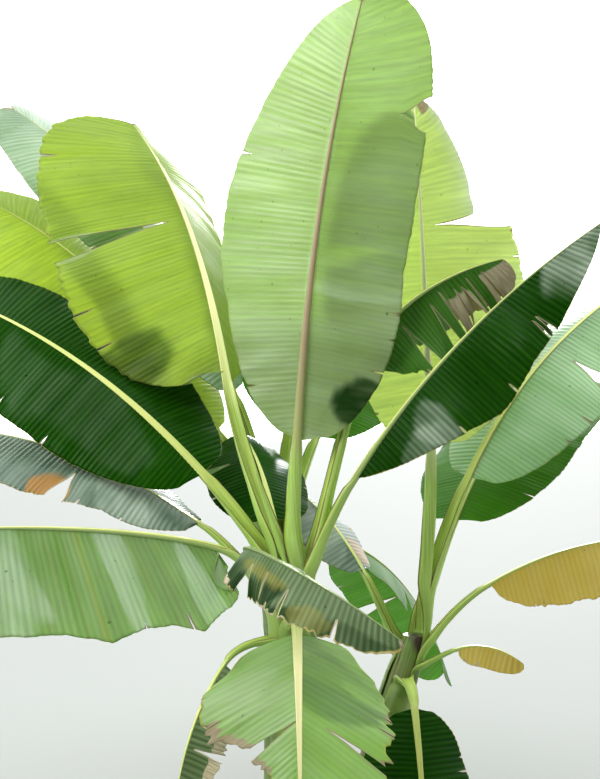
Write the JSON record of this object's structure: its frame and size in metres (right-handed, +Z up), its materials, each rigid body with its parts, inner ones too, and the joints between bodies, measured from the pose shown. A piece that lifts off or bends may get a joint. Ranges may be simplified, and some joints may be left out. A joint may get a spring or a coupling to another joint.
{
  "type": "banana plant",
  "caption": "Rooted clump of broad-leaved pseudostems, upright and arching oblong leaves on channelled stalks, some torn or withered.",
  "frame": {"origin": "middle of the flat cut under the main pseudostem, at ground level", "axes": "+Z up, +X to the right and +Y away from the viewer of the picture"},
  "size_m": [2.6769, 2.6833, 2.7589],
  "materials": {
    "pseudostem": "satin, sheathed, with dry brown edges",
    "petiole": "smooth, waxy, pale green",
    "leaf": "waxy green blade with fine parallel veins",
    "young_leaf": "furled, pale, smooth",
    "old_leaf": "dull, yellowed, brown at the margins"
  },
  "bodies": {
    "root": {"blade_back_left": "leaf", "blade_broken": "old_leaf", "blade_front": "leaf", "blade_front_left": "leaf", "blade_left": "leaf", "blade_low_left": "leaf", "blade_rear_back": "leaf", "blade_rear_left_lower": "leaf", "blade_rear_left_upper": "leaf", "blade_rear_low": "leaf", "blade_rear_right": "leaf", "blade_rear_tall": "leaf", "blade_right": "leaf", "blade_second_back": "leaf", "blade_second_front": "old_leaf", "blade_second_left": "leaf", "blade_second_low_right": "leaf", "blade_second_right": "leaf", "blade_second_tall": "leaf", "blade_second_yellow": "old_leaf", "blade_shaded": "leaf", "blade_tall": "leaf", "blade_torn": "leaf", "blade_withered": "old_leaf", "spear": "young_leaf", "stalk_back_left": "petiole", "stalk_broken": "petiole", "stalk_front": "petiole", "stalk_front_left": "petiole", "stalk_left": "petiole", "stalk_low_left": "petiole", "stalk_rear_back": "petiole", "stalk_rear_left_lower": "petiole", "stalk_rear_left_upper": "petiole", "stalk_rear_low": "petiole", "stalk_rear_right": "petiole", "stalk_rear_tall": "petiole", "stalk_right": "petiole", "stalk_second_back": "petiole", "stalk_second_front": "petiole", "stalk_second_left": "petiole", "stalk_second_low_right": "petiole", "stalk_second_right": "petiole", "stalk_second_tall": "petiole", "stalk_second_yellow": "petiole", "stalk_shaded": "petiole", "stalk_tall": "petiole", "stalk_torn": "petiole", "stalk_withered": "petiole", "stem_main": "pseudostem", "stem_rear": "pseudostem", "stem_second": "pseudostem"}
  },
  "joints": []
}
